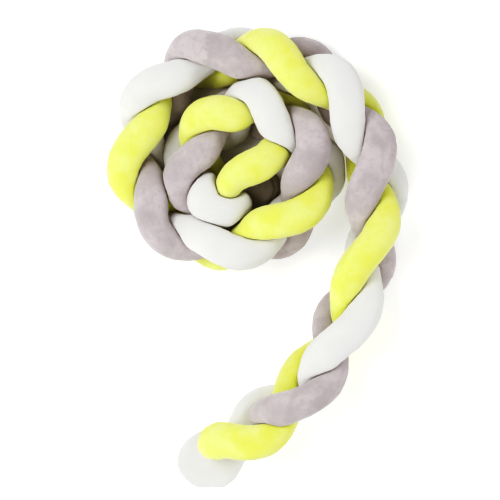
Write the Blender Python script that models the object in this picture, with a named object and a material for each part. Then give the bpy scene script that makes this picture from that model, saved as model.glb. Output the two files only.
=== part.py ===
"""A braided crib bumper: three padded velour tubes in a plait, stood on edge and laid in a coil.

Metres, +Z up. The braid starts in the heart of the coil, winds outwards clockwise as seen from
above for one and a half turns, and leaves as a tail. The origin is under the middle of it all.
"""
import math

import bpy
import numpy as np

# Sizes of one tube
TUBE_RADIUS = 0.0255     # a free stretch of a filled tube
BULGE = 1.07             # most that a squeezed stretch swells sideways
LOBE_SWELL = 0.05        # a tube is fuller than average on top and underneath, and slimmer where it crosses
END_ROUNDING = 0.028     # length over which a closed end draws in, more for a wide end
END_SQUARENESS = 2.4     # 2 for an elliptical end
EVEN_OUT = 0.030         # length over which a change of girth is smoothed
SKIN_GAP = 0.0045        # air between two skins, or two stretches of one skin
SQUARENESS = 10          # how sharply a round skin turns into a pressed one

# Shape of the braid
STRAND_RISE = 0.051      # how far a strand's middle climbs above and below the braid's axis
STRAND_SWING = 0.0165    # how far it swings to either side
PRESSED = 0.004          # depth by which the lowest stretches are flattened on the surface
SWELLING_ROUNDS = 3

# Faces
RING_STEP = 0.018        # distance between two rings along a tube
END_RINGS = 3            # rings in a closed end
SIDES = 16
FEELER_STEP = 0.004      # distance between the points that stand for a neighbouring tube
FEELER_REACH = 0.085
OWN_NEAR = 0.040         # a tube ignores its own skin up to here along its length
OWN_FAR = 0.080          # and keeps the full gap to itself from here on
FAR_AWAY = 1000.0

MM = 0.001
SHIFT = (-11.7, 10.9)    # mm, from the table's frame to the origin under the middle

# One row for each lobe that a strand makes on top of the braid, from the heart to the tail's tip:
# where the braid's axis passes under the lobe, and how far the braid leans over there.
FIRST_LOBE = -1
AXIS = (
    # x_mm, y_mm, lean_deg
    (64, 183, 0),
    (10, 120, 0),
    (-58, 68, 0),
    (-86, 130, 0),
    (-37, 204, 0),
    (34, 206, 0),
    (99, 136, 0),
    (54, 43, 0),
    (-44, 10, 0),
    (-142, 55, 0),
    (-173, 155, 0),
    (-131, 254, 0),
    (-35, 298, 0),
    (63, 276, 0),
    (151, 215, 0),
    (190, 111, 0),
    (179, -6, 2),
    (138, -126, 12),
    (77, -216, 20),
    (-9, -270, 25),
    (-62, -312, 28),
    (-102, -356, 28),
)

# The tubes in braiding order. A tube's start and end are counted in lobes.
TUBES = (
    # name, start, end, colour (linear), roughness
    ("tube_yellow", -0.65, 18.86, (0.86, 0.93, 0.16), 0.9),
    ("tube_white", 0.44, 19.88, (0.87, 0.87, 0.84), 0.9),
    ("tube_grey", -0.05, 17.75, (0.56, 0.49, 0.50), 0.9),
)

# Places where a strand lies off the even braid.
NUDGES = (
    # strand, at_lobe, reach_lobes, side_mm, along_mm, up_mm
    (0, -0.40, 0.35, -10, 0, 0),
    (1, 0.3, 0.35, 0, 0, -17),
    (0, 0.45, 0.30, 6, 0, 9),
    (1, 2.3, 0.40, 16, 0, 26),
    (2, 2.45, 0.25, 3, 0, 0),
    (0, 3.55, 0.30, 9, 0, 0),
    (1, 3.7, 0.30, 3, 0, 0),
    (2, 4.6, 0.30, -4, 0, 0),
    (0, 6.5, 0.30, 3, 0, 0),
    (1, 7.45, 0.40, 8, 0, 0),
    (0, 7.5, 0.5, -4, 0, 0),
    (2, 7.75, 0.30, 3, 0, 0),
    (1, 8.5, 0.5, -5, 0, 0),
    (2, 9.2, 0.35, -6, 0, 0),
    (1, 9.7, 0.4, -3, 0, 0),
    (0, 10.25, 0.35, -8, 0, 0),
    (1, 10.5, 0.28, 9, -6, -6),
    (2, 10.5, 0.18, 6, 0, 0),
    (2, 10.85, 0.3, -5, 0, 0),
    (1, 11.3, 0.35, 4, 0, 0),
    (2, 11.4, 0.25, -2, 0, 0),
    (2, 12.1, 0.35, 13, 0, 0),
    (0, 12.4, 0.30, 2, 0, 0),
    (1, 12.6, 0.4, 5, 0, 0),
    (0, 13.5, 0.5, -9, 4, 0),
    (1, 14.6, 0.5, 5, 0, 0),
    (2, 15.8, 0.4, -4, 0, 0),
    (0, 16.25, 0.4, -12, 0, 0),
    (2, 16.8, 0.4, -7, 0, 0),
    (0, 16.9, 0.35, 2, 0, 0),
    (2, 17.3, 0.35, 5, 0, 0),
    (0, 17.5, 0.35, -4, 0, 0),
    (2, 17.6, 0.4, 0, 0, -8),
    (1, 17.9, 0.4, 12, 0, 0),
    (1, 18.15, 0.3, 9, 0, 0),
    (1, 18.75, 0.45, -27, -3, 0),
    (0, 18.25, 0.45, 0, 0, -27),
    (0, 18.2, 0.25, 3, 3, 0),
    (0, 18.8, 0.5, -8, 4, 10),
    (0, 18.9, 0.2, -4, 2, 0),
    (1, 18.4, 0.35, 0, 0, -10),
    (1, 19.12, 0.8, 0, 0, -101),
    (1, 19.9, 0.5, -2, 11, 0),
)

# Places where a tube lies wide and low, such as a closed end with another tube on it, or narrow
# and high, such as where it dives under its neighbour.
SPREADS = (
    # strand, at_lobe, reach_lobes, extra_width (1 is twice as wide and half as high)
    (0, 0.5, 0.30, -0.24),
    (2, 2.5, 0.25, -0.14),
    (0, 3.5, 0.25, -0.18),
    (1, 4.45, 0.25, -0.12),
    (0, 6.5, 0.30, -0.15),
    (2, 7.75, 0.30, -0.12),
    (2, 11.4, 0.30, -0.10),
    (0, 12.4, 0.30, -0.12),
    (0, 15.0, 0.45, -0.06),
    (2, 16.8, 0.45, -0.14),
    (0, 18.6, 0.35, 0.12),
    (1, 19.35, 0.70, 0.80),
)


def spline(rows, at):
    """Natural cubic spline through rows, which stand at 0, 1, 2 and so on."""
    rows = np.asarray(rows, float)
    count = len(rows)
    system = np.eye(count)
    right = np.zeros_like(rows)
    for i in range(1, count - 1):
        system[i, i - 1:i + 2] = (1, 4, 1)
        right[i] = 6 * (rows[i - 1] - 2 * rows[i] + rows[i + 1])
    bend = np.linalg.solve(system, right)
    low = np.clip(np.floor(at).astype(int), 0, count - 2)
    t = (at - low)[:, None]
    back = 1 - t
    curved = (back**3 - back) * bend[low] + (t**3 - t) * bend[low + 1]
    return rows[low] * back + rows[low + 1] * t + curved / 6


def braid_axis(lobe):
    """Place, travel direction, outward direction and lean of the braid's axis."""
    table = np.array(AXIS, float)
    place = (table[:, :2] + SHIFT) * MM
    at = lobe - FIRST_LOBE
    small = 0.001
    travel = spline(place, at + small) - spline(place, at - small)
    travel /= np.linalg.norm(travel, axis=1, keepdims=True)
    outward = np.stack([-travel[:, 1], travel[:, 0]], axis=1)
    lean = np.radians(spline(table[:, 2:], at)[:, 0])
    return spline(place, at), travel, outward, lean


def strand_line(strand, lobe):
    """Middle line of one strand: on top at every third lobe, crossing from the outer side to the inner."""
    place, travel, outward, lean = braid_axis(lobe)
    turn = math.pi / 2 + 2 * math.pi / 3 * (lobe - strand)
    swing = STRAND_SWING * np.sin(2 * turn)
    rise = STRAND_RISE * np.sin(turn)
    side = swing * np.cos(lean) + rise * np.sin(lean)
    up = rise * np.cos(lean) - swing * np.sin(lean)
    half_height = np.hypot(STRAND_RISE * np.cos(lean), STRAND_SWING * np.sin(lean))
    height = half_height + TUBE_RADIUS - PRESSED + up
    along = np.zeros_like(lobe)
    for which, at_lobe, reach, side_mm, along_mm, up_mm in NUDGES:
        if which == strand:
            weight = np.exp(-((lobe - at_lobe) / reach)**2)
            side = side + side_mm * MM * weight
            along = along + along_mm * MM * weight
            height = height + up_mm * MM * weight
    flat = place + outward * side[:, None] + travel * along[:, None]
    return np.column_stack([flat, height])


def measured(strand, start, end):
    """Closely spaced places in lobes along a tube, and the length of tube up to each of them."""
    lobe = np.linspace(start, end, 4000)
    line = strand_line(strand, lobe)
    run = np.concatenate([[0], np.cumsum(np.linalg.norm(np.diff(line, axis=0), axis=1))])
    return lobe, run


def ring_places(length):
    """Lengths of tube up to each ring: evenly spaced, and closer together in the closed ends."""
    end = END_ROUNDING * (1 - np.cos(np.linspace(0, math.pi / 2, END_RINGS + 1)))
    count = round((length - 2 * END_ROUNDING) / RING_STEP)
    middle = np.linspace(END_ROUNDING, length - END_ROUNDING, count + 1)
    return np.concatenate([end[:-1], middle, length - end[-2::-1]])


def spokes(line, sides):
    """Unit directions around every point of a line, square to it and without twist."""
    forward = np.gradient(line, axis=0)
    forward /= np.linalg.norm(forward, axis=1, keepdims=True)
    first = np.zeros_like(line)
    start = np.array([0.0, 0.0, 1.0]) - forward[0] * forward[0][2]
    first[0] = start / np.linalg.norm(start)
    for k in range(1, len(line)):
        carried = first[k - 1] - forward[k] * np.dot(first[k - 1], forward[k])
        first[k] = carried / np.linalg.norm(carried)
    second = np.cross(forward, first)
    angle = np.linspace(0, 2 * math.pi, sides, endpoint=False)[None, :, None]
    return first[:, None] * np.cos(angle) + second[:, None] * np.sin(angle)


def feelers():
    """Points along all three middle lines: place, run along the tube, and strand number."""
    places, runs, owners = [], [], []
    for strand, (_name, start, end, _colour, _roughness) in enumerate(TUBES):
        lobe, run = measured(strand, start, end)
        even = np.linspace(0, run[-1], round(run[-1] / FEELER_STEP) + 1)
        places.append(strand_line(strand, np.interp(even, run, lobe)))
        runs.append(even)
        owners.append(np.full(len(even), strand))
    return np.concatenate(places), np.concatenate(runs), np.concatenate(owners)


def room(strand, line, run, rays, felt):
    """How far each ray may reach before it is halfway to a neighbouring stretch."""
    places, runs, owners = felt
    limit = np.full(rays.shape[:2], FAR_AWAY)
    for k, point in enumerate(line):
        offset = places - point
        square = (offset**2).sum(axis=1)
        apart = np.abs(runs - run[k])
        own = owners == strand
        near = (square < FEELER_REACH**2) & ~(own & (apart < FEELER_STEP))
        gap = np.where(own, np.clip((apart - OWN_NEAR) / (OWN_FAR - OWN_NEAR), 0, 1), 1)[near] * SKIN_GAP
        towards = 2 * (rays[k] @ offset[near].T + gap)
        reach = np.where(towards > 0, (square[near] - gap**2) / np.maximum(towards, 1e-9), FAR_AWAY)
        limit[k] = reach.min(axis=1)
    return limit


def pressed_together(free, limit):
    """Skin reach with a soft change from the free reach to the limit."""
    return (free**-SQUARENESS + limit**-SQUARENESS)**(-1 / SQUARENESS)


def widening(strand, lobe):
    """How many times wider than round the tube lies at each ring."""
    wider = np.ones(len(lobe))
    for which, at_lobe, reach_lobes, extra in SPREADS:
        if which == strand:
            wider += extra * np.exp(-((lobe - at_lobe) / reach_lobes)**2)
    return wider


def flattening(strand, lobe, rays):
    """Factor on the reach of each ray that turns a circle into a low ellipse of the same area."""
    upward = rays[:, :, 2]**2
    wider = widening(strand, lobe)[:, None]
    return 1 / np.sqrt((1 - upward) / wider**2 + upward * wider**2)


def smoothed(values):
    """Running mean over EVEN_OUT to either side."""
    half = max(1, int(EVEN_OUT / RING_STEP))
    weights = np.hanning(2 * half + 1)
    return np.convolve(np.pad(values, half, mode="edge"), weights / weights.sum(), "valid")


def tube_rings(strand, felt):
    """Rings of skin points of one tube."""
    _name, start, end, _colour, _roughness = TUBES[strand]
    lobe, run = measured(strand, start, end)
    length = run[-1]
    at = ring_places(length)
    lobe = np.interp(at, run, lobe)
    line = strand_line(strand, lobe)
    rays = spokes(line, SIDES)
    limit = room(strand, line, at, rays, felt)
    fuller = 1 + LOBE_SWELL * np.cos(4 * math.pi / 3 * (lobe - strand))
    girth = np.full(len(line), TUBE_RADIUS)
    flatter = flattening(strand, lobe, rays) * fuller[:, None]
    full_area = math.pi * TUBE_RADIUS**2
    for _ in range(SWELLING_ROUNDS):
        reach = pressed_together(girth[:, None] * flatter, limit)
        area = 0.5 * (reach * np.roll(reach, -1, axis=1)).sum(axis=1) * math.sin(2 * math.pi / SIDES)
        girth = np.clip(girth * np.sqrt(full_area / area), TUBE_RADIUS, TUBE_RADIUS * BULGE)
        girth = smoothed(girth)
    to_end = np.minimum(at, length - at)
    rounding = END_ROUNDING * widening(strand, lobe)
    inside = np.clip(1 - to_end / rounding, 0, 1)
    drawn_in = (1 - inside**END_SQUARENESS)**(1 / END_SQUARENESS)
    reach = pressed_together(girth[:, None] * flatter, limit) * drawn_in[:, None]
    down = np.maximum(-rays[:, :, 2], 1e-9)
    reach = np.minimum(reach, line[:, 2:] / down)
    return line, line[:, None] + rays * reach[:, :, None]


def closed_mesh(name, line, rings):
    """Quads between the rings, and a fan of triangles on each end's middle point."""
    inner = rings[1:-1]
    count, sides = inner.shape[:2]
    points = [tuple(point) for point in inner.reshape(-1, 3)]
    points += [tuple(line[0]), tuple(line[-1])]
    faces = []
    for k in range(count - 1):
        for j in range(sides):
            after = (j + 1) % sides
            faces.append((k * sides + j, k * sides + after, (k + 1) * sides + after, (k + 1) * sides + j))
    last = (count - 1) * sides
    for j in range(sides):
        after = (j + 1) % sides
        faces.append((after, j, count * sides))
        faces.append((last + j, last + after, count * sides + 1))
    mesh = bpy.data.meshes.new(name)
    mesh.from_pydata(points, [], faces)
    mesh.validate()
    mesh.shade_smooth()
    return mesh


def velour(name, colour, roughness):
    """Plain soft finish in the tube's colour."""
    material = bpy.data.materials.new(name)
    material.use_nodes = True
    shader = material.node_tree.nodes["Principled BSDF"]
    shader.inputs["Base Color"].default_value = (*colour, 1)
    shader.inputs["Roughness"].default_value = roughness
    shader.inputs["Metallic"].default_value = 0
    return material


def main():
    for thing in list(bpy.data.objects):
        bpy.data.objects.remove(thing, do_unlink=True)
    felt = feelers()
    for strand, (name, _start, _end, colour, roughness) in enumerate(TUBES):
        line, rings = tube_rings(strand, felt)
        mesh = closed_mesh(name, line, rings)
        mesh.materials.append(velour(name + "_velour", colour, roughness))
        bpy.context.scene.collection.objects.link(bpy.data.objects.new(name, mesh))


main()
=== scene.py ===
"""A braided crib bumper: three padded velour tubes over the solids, with floor, light and camera."""

import math

import bpy
import mathutils
import numpy as np
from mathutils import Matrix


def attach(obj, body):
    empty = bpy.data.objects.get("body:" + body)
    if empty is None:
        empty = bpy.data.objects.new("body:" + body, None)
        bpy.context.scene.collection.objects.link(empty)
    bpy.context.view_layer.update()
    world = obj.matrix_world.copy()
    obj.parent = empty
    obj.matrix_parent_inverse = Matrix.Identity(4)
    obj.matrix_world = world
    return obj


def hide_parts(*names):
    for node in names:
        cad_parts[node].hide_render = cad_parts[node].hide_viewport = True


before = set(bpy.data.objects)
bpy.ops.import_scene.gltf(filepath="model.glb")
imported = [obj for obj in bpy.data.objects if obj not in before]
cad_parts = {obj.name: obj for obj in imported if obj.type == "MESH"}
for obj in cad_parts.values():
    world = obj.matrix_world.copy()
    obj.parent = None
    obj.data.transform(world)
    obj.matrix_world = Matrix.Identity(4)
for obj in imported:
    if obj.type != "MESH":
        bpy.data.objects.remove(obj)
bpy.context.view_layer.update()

MM = 0.001

# Sizes of one tube
TUBE_RADIUS = 0.0255     # a free stretch of a filled tube
BULGE = 1.07             # most that a squeezed stretch swells sideways
LOBE_SWELL = 0.05        # a tube is fuller on top and underneath, and slimmer where it crosses
END_ROUNDING = 0.028     # length over which a closed end draws in, more for a wide end
END_SQUARENESS = 2.4     # 2 for an elliptical end
EVEN_OUT = 0.030         # length over which a change of girth is smoothed
SKIN_GAP = 0.0006        # air between two skins, or two stretches of one skin
SQUARENESS = 10          # how sharply a round skin turns into a pressed one

# Relief of the covers
STUFFING_LUMP = 0.022    # how far the stuffing is fuller or thinner, as a share of the radius
STUFFING_SHIFT = 2.3     # phase by which the lumps of one tube lie off those of the one before
STUFFING_TWIST = 0.61    # how much slower the crossing waves run along the tube
STUFFING_WAVES = (
    # length_m, waves_around, phase
    (0.091, 1, 0.4),
    (0.057, 2, 1.9),
    (0.037, 3, 3.1),
    (0.023, 2, 5.2),
)
SEAM_DEPTH = 0.0013      # of the groove along a tube's long seam
SEAM_HALF_WIDTH = 0.0022   # of the groove along any seam
SEAM_TURN_DEG = 40       # a tube's long seam runs this far outwards from its underside
CLOSING_TURNS_DEG = (46, 0, 24)   # how far above level the seam across each tube's closed end runs
CLOSING_LENGTH = 0.026   # and how far back along the tube
CLOSING_DEPTH = 0.0036   # of the groove along that seam
CLOSING_FADE = 3         # the seam is at its full depth but for the last third of that length
PLEAT_DEPTH = 0.0009     # gathers around a closed end's tip
PLEATS = 11
PLEAT_UNEVEN = (0.7, 3)  # phase by which the gathers wander, and how often around the tip
CREASE_DEPTH = 0.0030    # creases on the inner side of a bend, per unit of squeeze
CREASE_FREE = 0.22       # squeeze that the stuffing takes up without a crease
CREASE_MOST = 0.3        # squeeze from which a crease gets no deeper
CREASE_LENGTHS = (0.0117, 0.0313)  # distance between creases, and between bundles of them
CREASE_WANDER = 0.9      # phase by which a crease wanders
CREASE_WANDER_STEP = 0.013   # length of tube over which the wandering's phase grows by one radian
BEND_SHARE = 0.88        # most that a skin may reach of the radius of its own bend
FOLD_FULL = 0.0034       # depth from which the painted shade in a seam or crease is darkest

# Shape of the braid
STRAND_RISE = 0.051      # how far a strand's middle climbs above and below the braid's axis
STRAND_SWING = 0.0165    # how far it swings to either side
PRESSED = 0.004          # depth by which the lowest stretches are flattened on the surface
SWELLING_ROUNDS = 3      # rounds in which a squeezed stretch finds its girth

# Faces
RING_STEP = 0.0034       # distance between two rings along a tube
END_RINGS = 12           # rings in a closed end
SIDES = 120
FEELER_STEP = 0.004      # distance between the points that stand for a neighbouring tube
FEELER_REACH = 0.085     # how near such a point has to be to count
OWN_NEAR = 0.008         # a tube keeps no gap to its own skin up to here along its length
OWN_FAR = 0.080          # and the full gap from here on
FAR_AWAY = 1000.0        # stands for no limit
MEASURE_POINTS = 4000    # on a middle line, to measure its length
TINY = 1e-9              # keeps a division away from zero

SHIFT = (-11.7, 10.9)    # mm, from the table's frame to the origin under the middle

# One row for each lobe that a strand makes on top of the braid, from the heart to the tail's tip:
# where the braid's axis passes under the lobe, and how far the braid leans over there.
FIRST_LOBE = -1
AXIS = (
    # x_mm, y_mm, lean_deg
    (64, 183, 0),
    (10, 120, 0),
    (-58, 68, 0),
    (-86, 130, 0),
    (-37, 204, 0),
    (34, 206, 0),
    (99, 136, 0),
    (54, 43, 0),
    (-44, 10, 0),
    (-142, 55, 0),
    (-173, 155, 0),
    (-131, 254, 0),
    (-35, 298, 0),
    (63, 276, 0),
    (151, 215, 0),
    (190, 111, 0),
    (179, -6, 2),
    (138, -126, 12),
    (77, -216, 20),
    (-9, -270, 25),
    (-62, -312, 28),
    (-102, -356, 28),
)

# The tubes in braiding order. A tube's start and end are counted in lobes.
TUBES = (
    # name, start, end
    ("tube_yellow", -0.65, 18.86),
    ("tube_white", 0.44, 19.88),
    ("tube_grey", -0.05, 17.75),
)

# Places where a strand lies off the even braid.
NUDGES = (
    # strand, at_lobe, reach_lobes, side_mm, along_mm, up_mm
    (0, -0.40, 0.35, -10, 0, 0),
    (1, 0.3, 0.35, 0, 0, -17),
    (0, 0.45, 0.30, 6, 0, 9),
    (1, 2.3, 0.40, 16, 0, 26),
    (2, 2.45, 0.25, 3, 0, 0),
    (0, 3.55, 0.30, 9, 0, 0),
    (1, 3.7, 0.30, 3, 0, 0),
    (2, 4.6, 0.30, -4, 0, 0),
    (0, 6.5, 0.30, 3, 0, 0),
    (1, 7.45, 0.40, 8, 0, 0),
    (0, 7.5, 0.5, -4, 0, 0),
    (2, 7.75, 0.30, 3, 0, 0),
    (1, 8.5, 0.5, -5, 0, 0),
    (2, 9.2, 0.35, -6, 0, 0),
    (1, 9.7, 0.4, -3, 0, 0),
    (0, 10.25, 0.35, -8, 0, 0),
    (1, 10.5, 0.28, 9, -6, -6),
    (2, 10.5, 0.18, 6, 0, 0),
    (2, 10.85, 0.3, -5, 0, 0),
    (1, 11.3, 0.35, 4, 0, 0),
    (2, 11.4, 0.25, -2, 0, 0),
    (2, 12.1, 0.35, 13, 0, 0),
    (0, 12.4, 0.30, 2, 0, 0),
    (1, 12.6, 0.4, 5, 0, 0),
    (0, 13.5, 0.5, -9, 4, 0),
    (1, 14.6, 0.5, 5, 0, 0),
    (2, 15.8, 0.4, -4, 0, 0),
    (0, 16.25, 0.4, -12, 0, 0),
    (2, 16.8, 0.4, -7, 0, 0),
    (0, 16.9, 0.35, 2, 0, 0),
    (2, 17.3, 0.35, 5, 0, 0),
    (0, 17.5, 0.35, -4, 0, 0),
    (2, 17.6, 0.4, 0, 0, -8),
    (1, 17.9, 0.4, 12, 0, 0),
    (1, 18.15, 0.3, 9, 0, 0),
    (1, 18.75, 0.45, -27, -3, 0),
    (0, 18.25, 0.45, 0, 0, -27),
    (0, 18.2, 0.25, 3, 3, 0),
    (0, 18.8, 0.5, -8, 4, 10),
    (0, 18.9, 0.2, -4, 2, 0),
    (1, 18.4, 0.35, 0, 0, -10),
    (1, 19.12, 0.8, 0, 0, -101),
    (1, 19.9, 0.5, -2, 11, 0),
)

# Places where a tube lies wide and low, such as a closed end with another tube on it, or narrow
# and high, such as where it dives under its neighbour.
SPREADS = (
    # strand, at_lobe, reach_lobes, extra_width (1 is twice as wide and half as high)
    (0, 0.5, 0.30, -0.24),
    (2, 2.5, 0.25, -0.14),
    (0, 3.5, 0.25, -0.18),
    (1, 4.45, 0.25, -0.12),
    (0, 6.5, 0.30, -0.15),
    (2, 7.75, 0.30, -0.12),
    (2, 11.4, 0.30, -0.10),
    (0, 12.4, 0.30, -0.12),
    (0, 15.0, 0.45, -0.06),
    (2, 16.8, 0.45, -0.14),
    (0, 18.6, 0.35, 0.12),
    (1, 19.35, 0.70, 0.80),
)


def spline(rows, at):
    """Natural cubic spline through rows, which stand at 0, 1, 2 and so on."""
    rows = np.asarray(rows, float)
    count = len(rows)
    system = np.eye(count)
    right = np.zeros_like(rows)
    for i in range(1, count - 1):
        system[i, i - 1:i + 2] = (1, 4, 1)
        right[i] = 6 * (rows[i - 1] - 2 * rows[i] + rows[i + 1])
    bend = np.linalg.solve(system, right)
    low = np.clip(np.floor(at).astype(int), 0, count - 2)
    t = (at - low)[:, None]
    back = 1 - t
    curved = (back**3 - back) * bend[low] + (t**3 - t) * bend[low + 1]
    return rows[low] * back + rows[low + 1] * t + curved / 6


def braid_axis(lobe):
    """Place, travel direction, outward direction and lean of the braid's axis."""
    table = np.array(AXIS, float)
    place = (table[:, :2] + SHIFT) * MM
    at = lobe - FIRST_LOBE
    small = 0.001
    travel = spline(place, at + small) - spline(place, at - small)
    travel /= np.linalg.norm(travel, axis=1, keepdims=True)
    outward = np.stack([-travel[:, 1], travel[:, 0]], axis=1)
    lean = np.radians(spline(table[:, 2:], at)[:, 0])
    return spline(place, at), travel, outward, lean


def strand_line(strand, lobe):
    """Middle line of one strand, which is on top at every third lobe."""
    place, travel, outward, lean = braid_axis(lobe)
    turn = math.pi / 2 + 2 * math.pi / 3 * (lobe - strand)
    swing = STRAND_SWING * np.sin(2 * turn)
    rise = STRAND_RISE * np.sin(turn)
    side = swing * np.cos(lean) + rise * np.sin(lean)
    up = rise * np.cos(lean) - swing * np.sin(lean)
    half_height = np.hypot(STRAND_RISE * np.cos(lean), STRAND_SWING * np.sin(lean))
    height = half_height + TUBE_RADIUS - PRESSED + up
    along = np.zeros_like(lobe)
    for which, at_lobe, reach, side_mm, along_mm, up_mm in NUDGES:
        if which == strand:
            weight = np.exp(-((lobe - at_lobe) / reach)**2)
            side = side + side_mm * MM * weight
            along = along + along_mm * MM * weight
            height = height + up_mm * MM * weight
    flat = place + outward * side[:, None] + travel * along[:, None]
    return np.column_stack([flat, height])


def measured(strand, start, end):
    """Closely spaced places in lobes along a tube, and the length of tube up to each of them."""
    lobe = np.linspace(start, end, MEASURE_POINTS)
    line = strand_line(strand, lobe)
    run = np.concatenate([[0], np.cumsum(np.linalg.norm(np.diff(line, axis=0), axis=1))])
    return lobe, run


def ring_places(length):
    """Lengths of tube up to each ring: evenly spaced, and closer together in the closed ends."""
    end = END_ROUNDING * (1 - np.cos(np.linspace(0, math.pi / 2, END_RINGS + 1)))
    count = round((length - 2 * END_ROUNDING) / RING_STEP)
    middle = np.linspace(END_ROUNDING, length - END_ROUNDING, count + 1)
    return np.concatenate([end[:-1], middle, length - end[-2::-1]])


def spokes(line, sides):
    """Unit directions around every point of a line, square to it and without twist."""
    forward = np.gradient(line, axis=0)
    forward /= np.linalg.norm(forward, axis=1, keepdims=True)
    first = np.zeros_like(line)
    start = np.array([0.0, 0.0, 1.0]) - forward[0] * forward[0][2]
    first[0] = start / np.linalg.norm(start)
    for k in range(1, len(line)):
        carried = first[k - 1] - forward[k] * np.dot(first[k - 1], forward[k])
        first[k] = carried / np.linalg.norm(carried)
    second = np.cross(forward, first)
    angle = np.linspace(0, 2 * math.pi, sides, endpoint=False)[None, :, None]
    return first[:, None] * np.cos(angle) + second[:, None] * np.sin(angle)


def feelers():
    """Points along all three middle lines: place, run along the tube, and strand number."""
    places, runs, owners = [], [], []
    for strand, (_name, start, end) in enumerate(TUBES):
        lobe, run = measured(strand, start, end)
        even = np.linspace(0, run[-1], round(run[-1] / FEELER_STEP) + 1)
        places.append(strand_line(strand, np.interp(even, run, lobe)))
        runs.append(even)
        owners.append(np.full(len(even), strand))
    return np.concatenate(places), np.concatenate(runs), np.concatenate(owners)


def room(strand, line, run, rays, felt):
    """How far each ray may reach before it is halfway to a neighbouring stretch."""
    places, runs, owners = felt
    limit = np.full(rays.shape[:2], FAR_AWAY)
    for k, point in enumerate(line):
        offset = places - point
        square = (offset**2).sum(axis=1)
        apart = np.abs(runs - run[k])
        own = owners == strand
        near = (square < FEELER_REACH**2) & ~(own & (apart < FEELER_STEP))
        share = np.clip((apart[near] - OWN_NEAR) / (OWN_FAR - OWN_NEAR), 0, 1)
        gap = np.where(own[near], share, 1) * SKIN_GAP
        towards = 2 * (rays[k] @ offset[near].T + gap)
        reach = (square[near] - gap**2) / np.maximum(towards, TINY)
        limit[k] = np.where(towards > 0, reach, FAR_AWAY).min(axis=1)
    return limit


def pressed_together(free, limit):
    """Skin reach with a soft change from the free reach to the limit."""
    return (free**-SQUARENESS + limit**-SQUARENESS)**(-1 / SQUARENESS)


def widening(strand, lobe):
    """How many times wider than round the tube lies at each ring."""
    wider = np.ones(len(lobe))
    for which, at_lobe, reach_lobes, extra in SPREADS:
        if which == strand:
            wider += extra * np.exp(-((lobe - at_lobe) / reach_lobes)**2)
    return wider


def flattening(strand, lobe, rays):
    """Factor on the reach of each ray that turns a circle into a low ellipse of the same area."""
    upward = rays[:, :, 2]**2
    wider = widening(strand, lobe)[:, None]
    return 1 / np.sqrt((1 - upward) / wider**2 + upward * wider**2)


def smoothed(values):
    """Running mean over EVEN_OUT to either side."""
    half = max(1, int(EVEN_OUT / RING_STEP))
    weights = np.hanning(2 * half + 1)
    return np.convolve(np.pad(values, half, mode="edge"), weights / weights.sum(), "valid")


def stuffing(strand, at, angle):
    """Factor on the free girth: fibre filling that is a little fuller here and thinner there."""
    lump = 0
    for length, around, phase in STUFFING_WAVES:
        wave = 2 * math.pi * at[:, None] / length + phase + STUFFING_SHIFT * strand
        lump = lump + np.sin(wave + around * angle) * np.cos(STUFFING_TWIST * wave - around * angle)
    return 1 + STUFFING_LUMP * lump / 2


def turn_towards(rays, direction):
    """Angle in each ring of the ray that points most nearly in a direction."""
    first = rays[:, 0]
    second = rays[:, SIDES // 4]
    return np.arctan2((second * direction).sum(axis=1), (first * direction).sum(axis=1))


def side_directions(lobe, degrees_from_up):
    """Directions between up (0 degrees) and outwards from the coil (90 degrees)."""
    _place, _travel, outward, _lean = braid_axis(lobe)
    turn = math.radians(degrees_from_up)
    return np.column_stack([outward * math.sin(turn), np.full(len(lobe), math.cos(turn))])


def long_seam(lobe, rays, angle):
    """Depth of the groove along a tube, low on its outer side."""
    turn = turn_towards(rays, side_directions(lobe, 180 - SEAM_TURN_DEG))
    off = np.angle(np.exp(1j * (angle - turn[:, None]))) * TUBE_RADIUS
    return SEAM_DEPTH * np.exp(-(off / SEAM_HALF_WIDTH)**2)


def closed_end(strand, lobe, rays, angle, to_end, reach):
    """Depth of the seam across a closed end and of the gathers around its tip."""
    turn = turn_towards(rays, side_directions(lobe, 90 - CLOSING_TURNS_DEG[strand]))
    off = np.sin(angle - turn[:, None]) * reach
    close = np.clip(1 - to_end / CLOSING_LENGTH, 0, 1)[:, None]
    fading = np.minimum(1, CLOSING_FADE * close)
    seam = CLOSING_DEPTH * np.exp(-(off / SEAM_HALF_WIDTH)**2) * fading
    wander, around = PLEAT_UNEVEN
    gather = 0.5 - 0.5 * np.cos(PLEATS * angle + wander * np.sin(around * angle))
    return seam + PLEAT_DEPTH * gather * close**2


def bending(line, at, rays):
    """How sharply the middle line bends towards each ray: one over the radius."""
    forward = np.gradient(line, at, axis=0)
    forward /= np.linalg.norm(forward, axis=1, keepdims=True)
    return (rays * np.gradient(forward, at, axis=0)[:, None]).sum(axis=2)


def bend_creases(strand, at, bend, angle):
    """Depth of the cross creases on the inner side of a bend."""
    squeeze = bend * TUBE_RADIUS - CREASE_FREE
    depth = CREASE_DEPTH * np.clip(squeeze, 0, CREASE_MOST)
    wander = CREASE_WANDER * np.sin(at[:, None] / CREASE_WANDER_STEP + 2 * angle + strand)
    along = 2 * math.pi * at[:, None]
    between, bundle = CREASE_LENGTHS
    folds = np.sin(along / between + wander) * np.sin(along / bundle + strand)
    return depth * np.clip(folds, 0, 1)


def uncrossed(bend, to_end):
    """How far each ray may reach before rings cross on the inner side of a bend."""
    inner_side = (bend > 0) & (to_end > END_ROUNDING)[:, None]
    return np.where(inner_side, BEND_SHARE / np.maximum(bend, TINY), FAR_AWAY)


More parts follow.
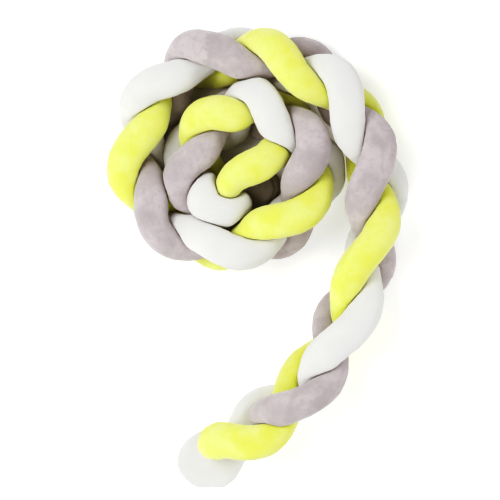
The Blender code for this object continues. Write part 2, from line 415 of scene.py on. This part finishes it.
def swollen(flatter, limit):
    """Free radius of each ring: a squeezed tube swells to keep its area, by BULGE at most."""
    girth = np.full(len(limit), TUBE_RADIUS)
    full_area = math.pi * TUBE_RADIUS**2
    for _ in range(SWELLING_ROUNDS):
        reach = pressed_together(girth[:, None] * flatter, limit)
        products = (reach * np.roll(reach, -1, axis=1)).sum(axis=1)
        area = 0.5 * products * math.sin(2 * math.pi / SIDES)
        girth = np.clip(girth * np.sqrt(full_area / area), TUBE_RADIUS, TUBE_RADIUS * BULGE)
        girth = smoothed(girth)
    return girth


def drawn_in(strand, lobe, to_end):
    """Share of its reach that the skin keeps towards a closed end."""
    inside = np.clip(1 - to_end / (END_ROUNDING * widening(strand, lobe)), 0, 1)
    return ((1 - inside**END_SQUARENESS)**(1 / END_SQUARENESS))[:, None]


def tube_rings(strand, felt):
    """Rings of skin points of one tube, the lobe at each ring, and how deep its seams are."""
    _name, start, end = TUBES[strand]
    lobe, run = measured(strand, start, end)
    length = run[-1]
    at = ring_places(length)
    lobe = np.interp(at, run, lobe)
    line = strand_line(strand, lobe)
    rays = spokes(line, SIDES)
    angle = np.linspace(0, 2 * math.pi, SIDES, endpoint=False)[None]
    to_end = np.minimum(at, length - at)
    bend = bending(line, at, rays)
    limit = np.minimum(room(strand, line, at, rays, felt), uncrossed(bend, to_end))
    fuller = 1 + LOBE_SWELL * np.cos(4 * math.pi / 3 * (lobe - strand))
    flatter = flattening(strand, lobe, rays) * fuller[:, None]
    free = swollen(flatter, limit)[:, None] * flatter * stuffing(strand, at, angle)
    kept = drawn_in(strand, lobe, to_end)
    reach = pressed_together(free, limit) * kept
    depth = long_seam(lobe, rays, angle) + closed_end(strand, lobe, rays, angle, to_end, reach)
    depth += bend_creases(strand, at, bend, angle)
    reach -= depth * kept
    down = np.maximum(-rays[:, :, 2], TINY)
    reach = np.minimum(reach, line[:, 2:] / down)
    return line, lobe, line[:, None] + rays * reach[:, :, None], depth


def closed_mesh(name, line, rings):
    """Quads between the rings, and a fan of triangles on each end's middle point."""
    inner = rings[1:-1]
    count, sides = inner.shape[:2]
    points = np.concatenate([inner.reshape(-1, 3), line[:1], line[-1:]])
    faces = []
    for k in range(count - 1):
        here = k * sides
        there = here + sides
        for j in range(sides):
            after = (j + 1) % sides
            faces.append((here + j, here + after, there + after, there + j))
    last = (count - 1) * sides
    for j in range(sides):
        after = (j + 1) % sides
        faces.append((after, j, count * sides))
        faces.append((last + j, last + after, count * sides + 1))
    mesh = bpy.data.meshes.new(name)
    mesh.from_pydata(points.tolist(), [], faces)
    mesh.validate()
    mesh.shade_smooth()
    return mesh


# Stretches where the pile was stroked the other way, so that it looks lighter or darker
STROKED = (
    # strand, from_lobe, to_lobe, tone (1 is lighter, -1 darker)
    (2, 10.15, 10.86, 0.9),
    (2, 10.86, 11.25, -0.45),
    (2, 13.75, 13.98, 0.5),
    (2, 14.12, 14.40, -0.5),
    (2, 16.80, 16.95, -0.5),
    (2, 8.05, 8.20, 0.5),
    (2, 4.95, 5.15, -0.4),
)

# Waves that make the borders of those stretches ragged
BORDER_WAVES = (
    # size_lobes, waves_around, phase_per_lobe, phase
    (0.035, 3, 5, 0),
    (0.018, 7, 0, 2),
    (0.012, 17, 40, 0),
)


def stroke_tones(strand, lobe):
    """Tone of the stroked pile at each skin point."""
    angle = np.linspace(0, 2 * math.pi, SIDES, endpoint=False)[None]
    ragged = 0
    for size, around, per_lobe, phase in BORDER_WAVES:
        ragged = ragged + size * np.sin(around * angle + per_lobe * lobe[:, None] + phase)
    place = lobe[:, None] + ragged
    tone = np.zeros(place.shape)
    for which, start, end, amount in STROKED:
        if which == strand:
            tone[(place >= start) & (place < end)] = amount
    return tone


# Finish of the velour, the same for all three tubes
SHADER = (
    # socket, value
    ("Roughness", 0.9),
    ("Specular IOR Level", 0.15),
    ("Diffuse Roughness", 0.7),
    ("Sheen Weight", 0.3),
    ("Sheen Roughness", 0.45),
)
NOISE_ROUGHNESS = 0.55
PATCHES = (26, 4, 0.1)     # noise scale, detail and distortion of the patches of pile
MARKS = (90, 3, 0.4)       # of the crush marks
PILE = (800, 2, 0)         # of the pile's grain
PATCH_RANGE = (0.38, 0.64)     # noise where the pile turns from light to dark
MARK_RANGE = (0.48, 0.66)      # noise where a crush mark starts, and where it is full
MARK_TONE = 0.65               # how dark a full mark is on crushed velour
STROKE_SHIFT = -0.16           # change of the patches' noise where the pile is stroked lighter
GRAIN = 0.12                   # share of the pile's grain in the colour
NAP_BUMP = (0.0004, 0.35)      # distance and strength
CRUSH_BUMP = (0.0008, 0.5)
PATCH_BUMP = (0.0016, 0.25)
FOLD_SHADE_TINT = (0.66, 0.63, 0.45, 1)   # painted shade, multiplied into the pile's colour in the depth of a seam or crease

# Velour of each tube: light and dark lie of the pile, and how strongly it is crushed.
VELOURS = (
    # slot, light tone, dark tone (both linear), crushed
    ("yellow_velour", (0.83, 0.867, 0.330), (0.80, 0.838, 0.215), 0.2),
    ("white_velour", (0.80, 0.80, 0.773), (0.775, 0.775, 0.753), 0.2),
    ("grey_velour", (0.600, 0.556, 0.558), (0.495, 0.458, 0.460), 1.0),
)


def noise(nodes, links, vector, scale, detail, distortion):
    """Three-dimensional noise on a vector."""
    texture = nodes.new("ShaderNodeTexNoise")
    texture.inputs["Scale"].default_value = scale
    texture.inputs["Detail"].default_value = detail
    texture.inputs["Roughness"].default_value = NOISE_ROUGHNESS
    texture.inputs["Distortion"].default_value = distortion
    links.new(vector, texture.inputs["Vector"])
    return texture.outputs["Fac"]


def blend(nodes, links, kind, amount, first, second):
    """Mix of two colours; amount and colours may be fixed values or sockets."""
    mix = nodes.new("ShaderNodeMix")
    mix.data_type = "RGBA"
    mix.blend_type = kind
    for socket, value in (("Factor", amount), ("A", first), ("B", second)):
        if isinstance(value, (int, float, tuple)):
            mix.inputs[socket].default_value = value
        else:
            links.new(value, mix.inputs[socket])
    return mix.outputs["Result"]


def map_range(nodes, links, value, given, wanted):
    """A given range turned into the wanted one, held at its ends."""
    node = nodes.new("ShaderNodeMapRange")
    sockets = ("From Min", "From Max", "To Min", "To Max")
    for socket, number in zip(sockets, (*given, *wanted)):
        node.inputs[socket].default_value = number
    links.new(value, node.inputs["Value"])
    return node.outputs["Result"]


def attribute(nodes, name):
    """Value of one of the mesh's attributes."""
    node = nodes.new("ShaderNodeAttribute")
    node.attribute_name = name
    return node.outputs["Fac"]


def bump(nodes, links, height, distance, strength, before):
    """Bump from a height, laid over an earlier one."""
    node = nodes.new("ShaderNodeBump")
    node.inputs["Strength"].default_value = strength
    node.inputs["Distance"].default_value = distance
    links.new(height, node.inputs["Height"])
    if before:
        links.new(before, node.inputs["Normal"])
    return node.outputs["Normal"]


def velour(name, light, dark, crushed):
    """Short soft pile with patches that lie another way, crush marks, a fine grain, a sheen, and
    painted shade in its seams and creases.
    """
    material = bpy.data.materials.new(name)
    material.use_nodes = True
    tree = material.node_tree
    nodes, links = tree.nodes, tree.links
    shader = nodes["Principled BSDF"]
    for socket, value in SHADER:
        shader.inputs[socket].default_value = value
    where = nodes.new("ShaderNodeTexCoord").outputs["Object"]
    patches = noise(nodes, links, where, *PATCHES)
    marks = noise(nodes, links, where, *MARKS)
    pile = noise(nodes, links, where, *PILE)

    lie = nodes.new("ShaderNodeMath")
    lie.operation = "MULTIPLY_ADD"
    links.new(attribute(nodes, "stroked"), lie.inputs[0])
    lie.inputs[1].default_value = STROKE_SHIFT
    links.new(patches, lie.inputs[2])
    wide = map_range(nodes, links, lie.outputs["Value"], PATCH_RANGE, (0, 1))
    fine = map_range(nodes, links, marks, MARK_RANGE, (0, MARK_TONE * crushed))
    tone = blend(nodes, links, "MIX", wide, (*light, 1), (*dark, 1))
    marked = blend(nodes, links, "MIX", fine, tone, (*dark, 1))
    grained = blend(nodes, links, "MULTIPLY", GRAIN, marked, pile)
    # Painted shade: the colour turns darker and warmer in the depth of seams and creases
    fold_shaded = blend(nodes, links, "MULTIPLY", attribute(nodes, "fold"), grained, FOLD_SHADE_TINT)
    links.new(fold_shaded, shader.inputs["Base Color"])

    nap = bump(nodes, links, pile, *NAP_BUMP, None)
    distance, strength = CRUSH_BUMP
    crushes = bump(nodes, links, marks, distance, strength * crushed, nap)
    lumps = bump(nodes, links, patches, *PATCH_BUMP, crushes)
    links.new(lumps, shader.inputs["Normal"])
    return material


def add_values(mesh, name, values):
    """Store a number at each skin point of a mesh, and none at the two ends' middle points."""
    attribute_data = mesh.attributes.new(name, "FLOAT", "POINT").data
    attribute_data.foreach_set("value", np.append(values[1:-1].ravel(), (0, 0)))


def tubes():
    """The three padded tubes, each in place of its solid."""
    felt = feelers()
    for strand, (name, _start, _end) in enumerate(TUBES):
        slot, light, dark, crushed = VELOURS[strand]
        line, lobe, rings, depth = tube_rings(strand, felt)
        mesh = closed_mesh(name + "_cover", line, rings)
        add_values(mesh, "stroked", stroke_tones(strand, lobe))
        # Depth of the seams and creases, which sets how much painted shade the pile gets there
        add_values(mesh, "fold", np.clip(depth / FOLD_FULL, 0, 1))
        mesh.materials.append(velour(slot, light, dark, crushed))
        piece = bpy.data.objects.new(name + "_cover", mesh)
        bpy.context.scene.collection.objects.link(piece)
        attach(piece, "root")
        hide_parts(name)


# The floor glows with painted light that washes out the shadows around the bumper, except under most
# of the coil
FLOOR_HALF = 6.0
FLOOR_WHITE = (0.93, 0.93, 0.93, 1)
FLOOR_ROUGHNESS = 0.9
# Strength of the floor's painted glow
FLOOR_PAINTED_GLOW = 0.28
COIL_MIDDLE = (-0.045, 0.16, 0.0)
COIL_DARK = 0.130        # no painted glow up to here from the coil's middle
COIL_LIT = 0.165         # full painted glow from here on


def floor():
    """Plain white floor, level with the surface that the bumper lies on, with a painted glow away
    from the coil.
    """
    half = FLOOR_HALF
    mesh = bpy.data.meshes.new("floor")
    corners = [(-half, -half, 0), (half, -half, 0), (half, half, 0), (-half, half, 0)]
    mesh.from_pydata(corners, [], [(0, 1, 2, 3)])
    material = bpy.data.materials.new("pale_floor")
    material.use_nodes = True
    nodes, links = material.node_tree.nodes, material.node_tree.links
    shader = nodes["Principled BSDF"]
    shader.inputs["Base Color"].default_value = FLOOR_WHITE
    shader.inputs["Roughness"].default_value = FLOOR_ROUGHNESS
    shader.inputs["Emission Color"].default_value = (1, 1, 1, 1)
    # Painted light: the floor glows away from the coil's middle, which washes out the shadows there
    away = nodes.new("ShaderNodeVectorMath")
    away.operation = "DISTANCE"
    away.inputs[1].default_value = COIL_MIDDLE
    links.new(nodes.new("ShaderNodeTexCoord").outputs["Object"], away.inputs[0])
    painted_glow = map_range(nodes, links, away.outputs["Value"], (COIL_DARK, COIL_LIT), (0, FLOOR_PAINTED_GLOW))
    links.new(painted_glow, shader.inputs["Emission Strength"])
    mesh.materials.append(material)
    piece = bpy.data.objects.new("floor", mesh)
    bpy.context.scene.collection.objects.link(piece)


def look_along(forward, up):
    """Rotation that turns a camera or lamp to look along forward."""
    back = -np.asarray(forward, float)
    right = np.cross(up, back)
    right /= np.linalg.norm(right)
    upward = np.cross(back, right)
    return mathutils.Matrix(np.column_stack([right, upward, back]).tolist()).to_euler()


def lamp(name, place, size, power):
    """Large soft square light that points at the middle of the bumper."""
    light = bpy.data.lights.new(name, "AREA")
    light.shape = "SQUARE"
    light.size = size
    light.energy = power
    thing = bpy.data.objects.new(name, light)
    thing.location = place
    aim = -np.array(place) / np.linalg.norm(place)
    thing.rotation_euler = look_along(aim, (0, 1, 0))
    bpy.context.scene.collection.objects.link(thing)


# Brightness of the white surroundings
ZENITH = 0.24
HORIZON = 0.80

LAMPS = (
    # name, place_m, side_m, power_w
    ("key_light", (-0.75, 0.4, 2.3), 1.2, 34),
    ("fill_light", (0.6, -1.0, 2.2), 1.4, 21),
)


def daylight():
    """White studio, brighter at the walls than at the ceiling, and two soft lamps."""
    world = bpy.data.worlds.new("studio")
    world.use_nodes = True
    nodes, links = world.node_tree.nodes, world.node_tree.links
    direction = nodes.new("ShaderNodeTexCoord").outputs["Generated"]
    split = nodes.new("ShaderNodeSeparateXYZ")
    links.new(direction, split.inputs["Vector"])
    brightness = map_range(nodes, links, split.outputs["Z"], (0, 1), (HORIZON, ZENITH))
    nodes["Background"].inputs["Color"].default_value = (1, 1, 1, 1)
    links.new(brightness, nodes["Background"].inputs["Strength"])
    bpy.context.scene.world = world
    for name, place, size, power in LAMPS:
        lamp(name, place, size, power)


# Tone curve of the picture, with deeper and slightly warmer shadows than the even light gives
GREEN = 1
BLUE = 2
ALL = 3
TONES = (
    # channel, linear brightness, brightness shown
    (ALL, 0.10, 0.040),
    (ALL, 0.22, 0.155),
    (ALL, 0.40, 0.375),
    (ALL, 0.60, 0.63),
    (ALL, 0.74, 0.785),
    (ALL, 0.86, 0.868),
    (GREEN, 0.07, 0.060),
    (GREEN, 0.30, 0.283),
    (GREEN, 0.60, 0.593),
    (BLUE, 0.07, 0.045),
    (BLUE, 0.30, 0.285),
    (BLUE, 0.60, 0.60),
)


def tones():
    """Set the tone curve."""
    view = bpy.context.scene.view_settings
    view.view_transform = "Standard"
    view.use_curve_mapping = True
    for channel, brightness, shown in TONES:
        view.curve_mapping.curves[channel].points.new(brightness, shown)
    view.curve_mapping.update()


# The photo's view: from straight above, tilted a little to the right
CAMERA_TILT_DEG = (9.0, -1.5)   # how far it stands to the right, and towards the photo's top
CAMERA_DISTANCE = 3.0
PHOTO_WIDTH = 0.7575            # metres that the picture spans at the aim
AIM_HEIGHT = 0.08
SENSOR_MM = 36.0


def camera():
    """Long lens above the bumper, at the photo's angle."""
    tilt_x, tilt_y = np.radians(CAMERA_TILT_DEG)
    level = math.cos(tilt_y)
    back = np.array([math.sin(tilt_x) * level, math.sin(tilt_y), math.cos(tilt_x) * level])
    aim = np.array([SHIFT[0] * MM, SHIFT[1] * MM, AIM_HEIGHT])
    lens = bpy.data.cameras.new("camera")
    lens.sensor_width = SENSOR_MM
    lens.lens = SENSOR_MM * CAMERA_DISTANCE / PHOTO_WIDTH
    thing = bpy.data.objects.new("camera", lens)
    thing.location = aim + back * CAMERA_DISTANCE
    thing.rotation_euler = look_along(-back, (0, 1, 0))
    bpy.context.scene.collection.objects.link(thing)
    bpy.context.scene.camera = thing


tubes()
floor()
daylight()
tones()
camera()
